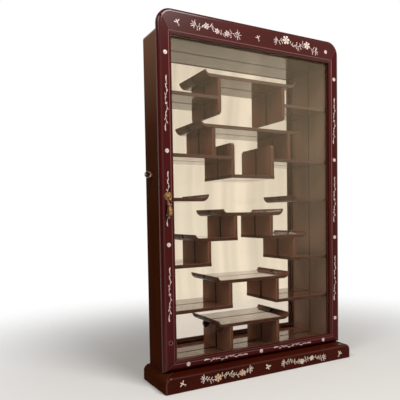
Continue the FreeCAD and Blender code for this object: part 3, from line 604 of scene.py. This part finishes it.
# %% [markdown]
# Every inlaid shape, be it stem, leaf, petal or wing, is a strip of shell that follows a line and swells
# and narrows along it. A curve with a bevel could draw it, but where a curve narrows it gets lower too,
# and a plate has one thickness. So one function builds the strip as a mesh, and the others only draw
# lines. The plates stand a little proud with a low ridge, as hand-cut shell does, and reach into the wood.

# %% Strips of shell
PROUD, RIDGE, SUNK = 0.18, 0.34, 0.25
SLIM = 0.06
TOP_SHARE = 0.86


def laid_on(face_y, x, z, turn=0.0):
    """Sets flat pattern points (mm) on a front face, with the pattern turned about (x, z)."""
    cosine = math.cos(math.radians(turn))
    sine = math.sin(math.radians(turn))

    def place(u, v, height):
        return Vector((x + u * cosine - v * sine, face_y - height, z + u * sine + v * cosine)) * MM

    return place


def strip(shape, place, line, half_widths):
    """A ridged strip of shell along line, closed at its ends and underneath."""
    rows = []
    for i, (u, v) in enumerate(line):
        before, after = line[max(i - 1, 0)], line[min(i + 1, len(line) - 1)]
        run = Vector((after[0] - before[0], after[1] - before[1])).normalized()
        half = max(half_widths[i], SLIM)
        top = half * TOP_SHARE
        section = ((half, -SUNK), (top, PROUD), (0.0, RIDGE), (-top, PROUD), (-half, -SUNK))
        rows.append([shape.verts.new(place(u - run.y * w, v + run.x * w, h)) for w, h in section])
    for first, second in zip(rows, rows[1:]):
        for k in range(len(first)):
            m = (k + 1) % len(first)
            shape.faces.new((first[k], first[m], second[m], second[k]))
    shape.faces.new(rows[0])
    shape.faces.new(rows[-1][::-1])


print("a strip stands", PROUD, "to", RIDGE, "mm proud of the wood")

# %% [markdown]
# The dots between the vines are round plates. A cylinder would do, but its flat top takes the light all
# at once. Three rings of corners make a low dome, whose lowest ring is in the wood.

# %% Discs of shell
DOME = 0.40
DISC_RINGS = ((1.0, -SUNK), (0.97, PROUD), (0.6, DOME))


def disc(shape, place, centre, radius, sides=20):
    """A low dome of shell."""
    rings = []
    for share, height in DISC_RINGS:
        ring = []
        for k in range(sides):
            angle = 2 * math.pi * k / sides
            ring.append(shape.verts.new(place(centre[0] + radius * share * math.cos(angle),
                                              centre[1] + radius * share * math.sin(angle), height)))
        rings.append(ring)
    for low, high in zip(rings, rings[1:]):
        for k in range(sides):
            m = (k + 1) % sides
            shape.faces.new((low[k], low[m], high[m], high[k]))
    shape.faces.new(rings[0][::-1])
    shape.faces.new(rings[-1])


print("a disc stands", DOME, "mm proud of the wood")

# %% [markdown]
# A leaf is a strip along an arc, widest in the middle. A comma is widest near its head, and a petal
# towards its tip. Each could be drawn by hand and traced, but only the line and the widths differ, and
# formulas give both.

# %% Leaves and blossoms
LEAF_FULLNESS, COMMA_LEAN = 0.8, 0.45
COMMA_STEPS, PETAL_STEPS = 14, 8
EYE_SHARE, EYE_GAP = 0.2, 1.15
PETAL_WIDTH, PETAL_ROOT, PETAL_SHOULDER, PETAL_TIP = 0.62, 0.28, 0.62, 0.39


def bent_line(start, heading, length, bend, steps=10):
    """Points along an arc that starts in one direction and turns by bend degrees in all."""
    points = [tuple(start)]
    for i in range(steps):
        angle = math.radians(heading + bend * (i + 0.5) / steps)
        u, v = points[-1]
        points.append((u + length / steps * math.cos(angle), v + length / steps * math.sin(angle)))
    return points


def leaf(shape, place, start, heading, length, width, bend=0.0):
    line = bent_line(start, heading, length, bend)
    last = len(line) - 1
    halves = [width / 2 * math.sin(math.pi * i / last) ** LEAF_FULLNESS for i in range(last + 1)]
    strip(shape, place, line, halves)
    return line[-1]


def comma(shape, place, start, heading, length, width, bend):
    """A stroke with a round head that runs out into a curved tail."""
    line = bent_line(start, heading, length, bend, steps=COMMA_STEPS)
    last = len(line) - 1
    halves = [width / 2 * math.sin(math.pi * (i / last) ** COMMA_LEAN) for i in range(last + 1)]
    strip(shape, place, line, halves)


def petal_share(t):
    """How wide a petal is at a share t of its length: it swells up to the shoulder, then rounds off."""
    if t < PETAL_SHOULDER:
        return PETAL_ROOT + t
    past = (t - PETAL_SHOULDER) / PETAL_TIP
    return (PETAL_ROOT + PETAL_SHOULDER) * math.sqrt(max(1 - past ** 2, 0))


def blossom(shape, place, centre, radius, petals=6, turn=0.0):
    """An open flower seen from the front: petals that part a little, and a round eye."""
    eye = radius * EYE_SHARE
    root = eye * EYE_GAP
    widest = radius * PETAL_WIDTH * math.tan(math.pi / petals)
    halves = [widest * petal_share(i / PETAL_STEPS) for i in range(PETAL_STEPS + 1)]
    for k in range(petals):
        heading = turn + 360 * k / petals
        start = (centre[0] + root * math.cos(math.radians(heading)),
                 centre[1] + root * math.sin(math.radians(heading)))
        strip(shape, place, bent_line(start, heading, radius - root, 0.0, steps=PETAL_STEPS), halves)
    disc(shape, place, centre, eye, sides=12)


print("a petal is widest at", PETAL_SHOULDER, "of its length")

# %% [markdown]
# The patterns are old ones, such as sprays of blossom. A spray is a waving stem with leaves to either
# side, a tuft at each end and flowers on the stem. It could be modelled once and copied, but hand-cut
# leaves differ. A seeded random generator varies them, so that no two are alike and every run is the same.

# %% Sprays
STEM_HALF, STEM_STEPS = 0.6, 48
STEM_SWAY, STEM_WAVES = 0.16, 4.2
TUFT_REACH, STEM_MARGIN, FLOWER_MARGIN = 12, 3, 1.5
LEAF_GAP, LEAF_ANGLE, LEAF_BEND = (3.6, 5.2), (40, 75), (-35, 20)
LEAF_SHARE, LEAF_WIDTH = (0.22, 0.38), (1.8, 2.8)
EXTRA_ANGLES = (0, 0, 60)
BUD_CHANCE, BUD_RADIUS, BUD_SIDES = 0.55, (1.1, 1.7), 10
TUFT_FAN, TUFT_LEAF, TUFT_BEND, TIP_RADIUS = (-75, -35, 5, 45, 85), (8, 12), (-30, 30), (1.0, 1.6)


def spray(shape, flowers, place, length, height, blossoms, seed):
    """A waving stem along u. blossoms holds (place along the stem, offset, radius)."""
    draw = random.Random(seed)
    reach = length / 2 - TUFT_REACH

    def stem_at(u):
        return height * STEM_SWAY * math.sin(u * STEM_WAVES * math.pi / length + seed)

    stops = [-reach + 2 * reach * i / STEM_STEPS for i in range(STEM_STEPS + 1)]
    strip(shape, place, [(u, stem_at(u)) for u in stops], [STEM_HALF] * len(stops))
    side = 1
    u = -reach + STEM_MARGIN
    while u < reach - STEM_MARGIN:
        if all(abs(u - along) > radius + FLOWER_MARGIN for along, offset, radius in blossoms):
            heading = side * draw.uniform(*LEAF_ANGLE) + draw.choice(EXTRA_ANGLES) * side
            tip = leaf(shape, place, (u, stem_at(u) + side * STEM_HALF), heading,
                       draw.uniform(*LEAF_SHARE) * height, draw.uniform(*LEAF_WIDTH),
                       side * draw.uniform(*LEAF_BEND))
            if draw.random() < BUD_CHANCE:
                disc(shape, place, (tip[0], tip[1] + side * 1.2), draw.uniform(*BUD_RADIUS), BUD_SIDES)
        side = -side
        u += draw.uniform(*LEAF_GAP)
    for end, base in ((-1, 180), (1, 0)):
        for fan in TUFT_FAN:
            root = (end * (reach + 0.5), stem_at(end * reach) + 0.02 * fan)
            tip = leaf(shape, place, root, base + end * fan, draw.uniform(*TUFT_LEAF),
                       draw.uniform(*LEAF_WIDTH), draw.uniform(*TUFT_BEND))
            disc(shape, place, tip, draw.uniform(*TIP_RADIUS), BUD_SIDES)
    for along, offset, radius in blossoms:
        blossom(flowers, place, (along, stem_at(along) + offset), radius, turn=draw.uniform(0, 60))


print("a spray has", 2 * len(TUFT_FAN), "leaves in its tufts")

# %% [markdown]
# A vine curls alike to both ends of its middle flower, and ends in a comma on each side. A mirror modifier
# could double one half, but the stem waves on through the flower while the leaves are mirrored. A loop
# over both ends, with a sign, gives both.

# %% Vines
VINE_ROOT, VINE_TAIL, VINE_STEPS, VINE_WAVES = 4, 22, 30, 6.4
VINE_THIN, VINE_SWELL = 0.55, 0.45
VINE_LEAVES = (11, 20, 29, 38, 46)


def vine(shape, place, length, sway):
    """A curling vine, alike to both ends of its middle flower."""
    run = length / 2 - VINE_TAIL - VINE_ROOT
    stops = [VINE_ROOT + run * i / VINE_STEPS for i in range(VINE_STEPS + 1)]
    halves = [VINE_THIN + VINE_SWELL * i / VINE_STEPS for i in range(VINE_STEPS + 1)]
    for end in (-1, 1):
        base = 0 if end > 0 else 180

        def stem_at(s):
            return end * sway * math.sin(s * VINE_WAVES * math.pi / length)

        strip(shape, place, [(end * s, stem_at(s)) for s in stops], halves)
        tail = (end * (length / 2), -end * sway * 0.9)
        comma(shape, place, tail, base + 180 - end * 18, length=25, width=4.0, bend=end * 46)
        for k, s in enumerate(VINE_LEAVES):
            side = 1 if k % 2 else -1
            leaf(shape, place, (end * s, stem_at(s)), base + end * side * 48, length=7.5, width=2.0,
                 bend=-end * side * 50)
    blossom(shape, place, (0.0, 0.0), 3.6, petals=5, turn=90)


print("a vine has", 2 * len(VINE_LEAVES), "leaves")

# %% [markdown]
# Small birds and a butterfly fill the gaps between the sprays. They are cut from the same few leaf shapes
# as the flowers: a body, and wings and tail that fan out from it. All measures are shares of the size, so
# one function serves every bird.

# %% Birds and butterflies
def bird(shape, place, size, spread):
    """A small bird on the wing, heading along +u."""
    leaf(shape, place, (-0.34 * size, 0), 0, 0.78 * size, 0.26 * size)
    disc(shape, place, (0.42 * size, 0.02 * size), 0.10 * size, sides=12)
    for side in (-1, 1):
        shoulder = (0.06 * size, side * 0.08 * size)
        leaf(shape, place, shoulder, side * spread, 0.56 * size, 0.20 * size, side * 30)
        leaf(shape, place, (-0.30 * size, side * 0.03 * size), 180 - side * 16, 0.36 * size, 0.10 * size)


def butterfly(shape, place, size):
    """A butterfly from above: a slim body and four wings."""
    leaf(shape, place, (-0.30 * size, 0), 0, 0.66 * size, 0.12 * size)
    for side in (-1, 1):
        fore = (0.08 * size, side * 0.05 * size)
        hind = (-0.06 * size, side * 0.05 * size)
        leaf(shape, place, fore, side * 68, 0.52 * size, 0.28 * size, -side * 25)
        leaf(shape, place, hind, side * 126, 0.40 * size, 0.22 * size, side * 25)


print("birds and butterflies are drawn to any size")

# %% [markdown]
# A finished shape becomes a piece of its own, with one sheet of shell. Each leaf could be an object, but
# that would be hundreds. One mesh for each board and sheet of shell is enough. It rides on the body that
# carries the board, so the door's inlay swings out with the door.

# %% From shape to piece
def shell_piece(name, shape, finish, body):
    """Turns a finished shape into a piece that rides on a body of the cabinet."""
    bmesh.ops.recalc_face_normals(shape, faces=shape.faces)
    mesh = bpy.data.meshes.new(name)
    shape.to_mesh(mesh)
    shape.free()
    mesh.materials.append(finish)
    piece = bpy.data.objects.new(name, mesh)
    scene.collection.objects.link(piece)
    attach(piece, body)
    print(name, "has", len(mesh.polygons), "faces")


# %% [markdown]
# The stiles and the bottom rail carry vines between round dots. The face and the foot of the door come
# from the frame, and the levels count from that foot. The lowest dot on the pull side has lost its shell,
# and only a thin ring is left of it.

# %% Inlay of the stiles and the bottom rail
door_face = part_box("door_top_rail")[0].y / MM
door_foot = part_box("door_bottom_rail")[0].z / MM
STILE_MIDDLE, RAIL_LEVEL = 290.0, 14.5
DOT_RADIUS = 5.8
DOT_LEVELS = (833.5, 582.0, 337.5, 78.5)
RING_HALF, RING_STEPS = 0.2, 24
VINE_LEVELS = (704.0, 457.5, 207.0)
VINE_LENGTH, VINE_SWAY = 144.0, 2.4
RAIL_DOTS, RAIL_VINES = (-239.0, 0.0, 239.0), (-119.5, 117.0)


def ring(shape, place):
    """The thin ring that is left of a dot."""
    line = bent_line((0.0, -DOT_RADIUS), 0.0, 2 * math.pi * DOT_RADIUS, 360.0, steps=RING_STEPS)
    strip(shape, place, line, [RING_HALF] * len(line))


for side, name in ((-1, "left"), (1, "right")):
    shape = bmesh.new()
    for level in DOT_LEVELS:
        spot = laid_on(door_face, side * STILE_MIDDLE, door_foot + level)
        if side < 0 and level == DOT_LEVELS[-1]:
            ring(shape, spot)
        else:
            disc(shape, spot, (0, 0), DOT_RADIUS)
    for level in VINE_LEVELS:
        spot = laid_on(door_face, side * STILE_MIDDLE, door_foot + level, turn=90)
        vine(shape, spot, VINE_LENGTH, VINE_SWAY)
    shell_piece("pearl_" + name + "_stile", shape, rosy_shell, "door")

shape = bmesh.new()
for x in RAIL_DOTS:
    disc(shape, laid_on(door_face, x, door_foot + RAIL_LEVEL), (0, 0), DOT_RADIUS)
for x in RAIL_VINES:
    vine(shape, laid_on(door_face, x, door_foot + RAIL_LEVEL), VINE_LENGTH, VINE_SWAY)
shell_piece("pearl_bottom_rail", shape, rosy_shell, "door")

# %% [markdown]
# The top rail has the richest inlay: two sprays with a bird before each. The flowers of the right-hand
# spray are cut from a cream sheet of shell, so they are a piece of their own.

# %% Inlay of the top rail
TOP_LEVEL = 915.0
level = door_foot + TOP_LEVEL
shape = bmesh.new()
cream = bmesh.new()
bird(shape, laid_on(door_face, -253.5, level, turn=118), size=16.0, spread=50)
bird(shape, laid_on(door_face, 1.5, level, turn=112), size=15.0, spread=50)
disc(shape, laid_on(door_face, 256.0, level - 1.5), (0, 0), DOT_RADIUS)
spray(shape, shape, laid_on(door_face, -136.0, level - 1, turn=-5), length=158.0, height=30.0,
      blossoms=((-31, 1, 8.5), (2, -2, 7.5), (34, 1, 8.5)), seed=3)
spray(shape, cream, laid_on(door_face, 141.0, level + 2, turn=-3), length=170.0, height=30.0,
      blossoms=((-40, 2, 13.0), (40, 2, 11.5)), seed=5)
shell_piece("pearl_top_rail", shape, rosy_shell, "door")
shell_piece("pearl_top_rail_blossoms", cream, cream_shell, "door")

# %% [markdown]
# The base repeats the scheme on a lower board: birds at the ends, a butterfly in the middle and a spray
# to either side. Its shell is cream, and the left-hand flowers are tan.

# %% Inlay of the base
base_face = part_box("base_front")[0].y / MM
BASE_LEVEL = 21.5
shape = bmesh.new()
tan = bmesh.new()
bird(shape, laid_on(base_face, -273.0, BASE_LEVEL + 1, turn=150), size=16.0, spread=60)
butterfly(shape, laid_on(base_face, -1.0, BASE_LEVEL + 0.5, turn=70), size=18.0)
bird(shape, laid_on(base_face, 275.5, BASE_LEVEL - 3.5, turn=60), size=17.0, spread=45)
spray(shape, tan, laid_on(base_face, -137.0, BASE_LEVEL), length=168.0, height=24.0,
      blossoms=((-30, 1, 11.5), (48, 2, 9.5)), seed=8)
spray(shape, shape, laid_on(base_face, 132.5, BASE_LEVEL, turn=-1), length=174.0, height=24.0,
      blossoms=((-8, 0, 8.5), (30, -2, 7.5)), seed=12)
shell_piece("pearl_base", shape, cream_shell, "cabinet")
shell_piece("pearl_base_blossoms", tan, tan_shell, "cabinet")

# %% [markdown]
# The floor is a wide pale sheet that fades out into the white surroundings, so no horizon shows behind
# the cabinet. It takes the soft shadow. The fade is the factor of a mix between the floor and nothing.

# %% Floor
FLOOR_REACH = 2.5
FADE_START, FADE_END = 0.35, 1.5


def floor_finish():
    material, floor = bare_material("studio_floor")
    matt = floor.node("ShaderNodeBsdfDiffuse", None, {"Color": colour(0.85, 0.82, 0.78)})
    gone = floor.node("ShaderNodeBsdfTransparent", None, {"Color": colour(1.0, 1.0, 1.0)})
    place = floor.node("ShaderNodeTexCoord", output="Object")
    away = floor.node("ShaderNodeVectorMath", {"operation": "LENGTH"}, {0: place}, output="Value")
    fade = floor.span(away, FADE_START, FADE_END, smooth=True)
    floor.show(floor.node("ShaderNodeMixShader", None, {0: fade, 1: matt, 2: gone}))
    return material


corners = [(-FLOOR_REACH, -FLOOR_REACH, 0), (FLOOR_REACH, -FLOOR_REACH, 0),
           (FLOOR_REACH, FLOOR_REACH, 0), (-FLOOR_REACH, FLOOR_REACH, 0)]
floor_mesh = bpy.data.meshes.new("floor")
floor_mesh.from_pydata(corners, [], [(0, 1, 2, 3)])
floor_mesh.materials.append(floor_finish())
floor_sheet = bpy.data.objects.new("floor", floor_mesh)
scene.collection.objects.link(floor_sheet)
print("the floor has faded out", FADE_END, "m from the cabinet")

# %% [markdown]
# The light is that of a plain studio: a pale room, and two large soft lamps, high in front and high to the
# left. To the camera the room is white. In the mirror and in the gloss it has one bright draped wall, to
# the right, and is dim above and to the left. On the wood it shines at a low level, so that the dark
# lacquer keeps its colour. An image of a room could light it too, but a few nodes are easier to adjust.

# %% Light
AMBIENT, DIM_ROOM, BRIGHT_WALL = 0.25, 0.12, 0.95
CEILING_START, WALL_TOP = 0.68, 0.48
WALL_LEFT, WALL_FULL = -0.78, -0.40
FOLDS, FOLD_DARK, FOLD_RANGE = (34.0, 0.0, 0.5), 0.40, 1.15


def studio_world():
    world = bpy.data.worlds.new("studio")
    world.use_nodes = True
    scene.world = world
    room = Finish(world.node_tree)
    seen = room.node("ShaderNodeLightPath", output="Is Camera Ray")
    mirrored = room.node("ShaderNodeLightPath", output="Is Glossy Ray")
    direction = room.node("ShaderNodeTexCoord", output="Generated")
    below_ceiling = room.span(room.part(direction, "Z"), CEILING_START, WALL_TOP, smooth=True)
    on_right = room.span(room.part(direction, "X"), WALL_LEFT, WALL_FULL, smooth=True)
    drapes = room.noise(FOLDS, detail=3.0, place=direction)
    wall = below_ceiling * on_right * (FOLD_DARK + FOLD_RANGE * drapes)
    background = world.node_tree.nodes["Background"]
    tone = room.mix(mirrored, colour(1.0, 1.0, 1.0), colour(1.0, 0.93, 0.78))
    room.fill(background.inputs["Color"], tone)
    room.fill(background.inputs["Strength"], AMBIENT + (1.0 - AMBIENT) * seen
              + (DIM_ROOM - AMBIENT + (BRIGHT_WALL - DIM_ROOM) * wall) * mirrored)


def soft_lamp(name, place, aim, size, watts):
    lamp = bpy.data.lights.new(name, "AREA")
    lamp.shape = "DISK"
    lamp.size = size
    lamp.energy = watts
    holder = bpy.data.objects.new(name, lamp)
    holder.location = place
    holder.rotation_euler = (Vector(aim) - Vector(place)).to_track_quat("-Z", "Y").to_euler()
    scene.collection.objects.link(holder)


studio_world()
soft_lamp("key_lamp", place=(0.2, -1.4, 2.1), aim=(0.0, 0.0, 0.6), size=1.0, watts=34)
soft_lamp("side_lamp", place=(-1.7, -0.7, 2.0), aim=(-0.2, 0.0, 0.6), size=1.0, watts=18)

# %% [markdown]
